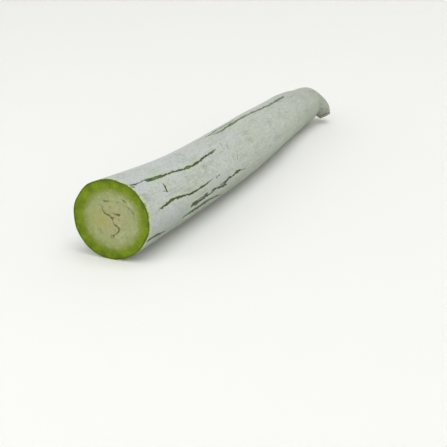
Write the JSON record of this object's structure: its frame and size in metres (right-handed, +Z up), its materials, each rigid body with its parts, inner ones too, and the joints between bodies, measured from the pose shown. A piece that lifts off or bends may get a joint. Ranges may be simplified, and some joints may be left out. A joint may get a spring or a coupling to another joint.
{
  "type": "snake gourd",
  "caption": "Stalk end of a snake gourd lying on its side: a long bowed body with a hooked neck, cut square across to show its green rind, pale flesh and pith.",
  "frame": {"origin": "middle of the bounding box, on the surface that the gourd lies on", "axes": "+X along the gourd from the cut face to the stalk, +Y to its left, +Z up from the surface it lies on"},
  "size_m": [0.3912, 0.0632, 0.06],
  "materials": {
    "gourd_skin": "pale grey-green rind with a powdery waxy bloom, dark green streaks, and a cut face of green rind and cream pith"
  },
  "bodies": {
    "root": {"gourd": "gourd_skin"}
  },
  "joints": []
}
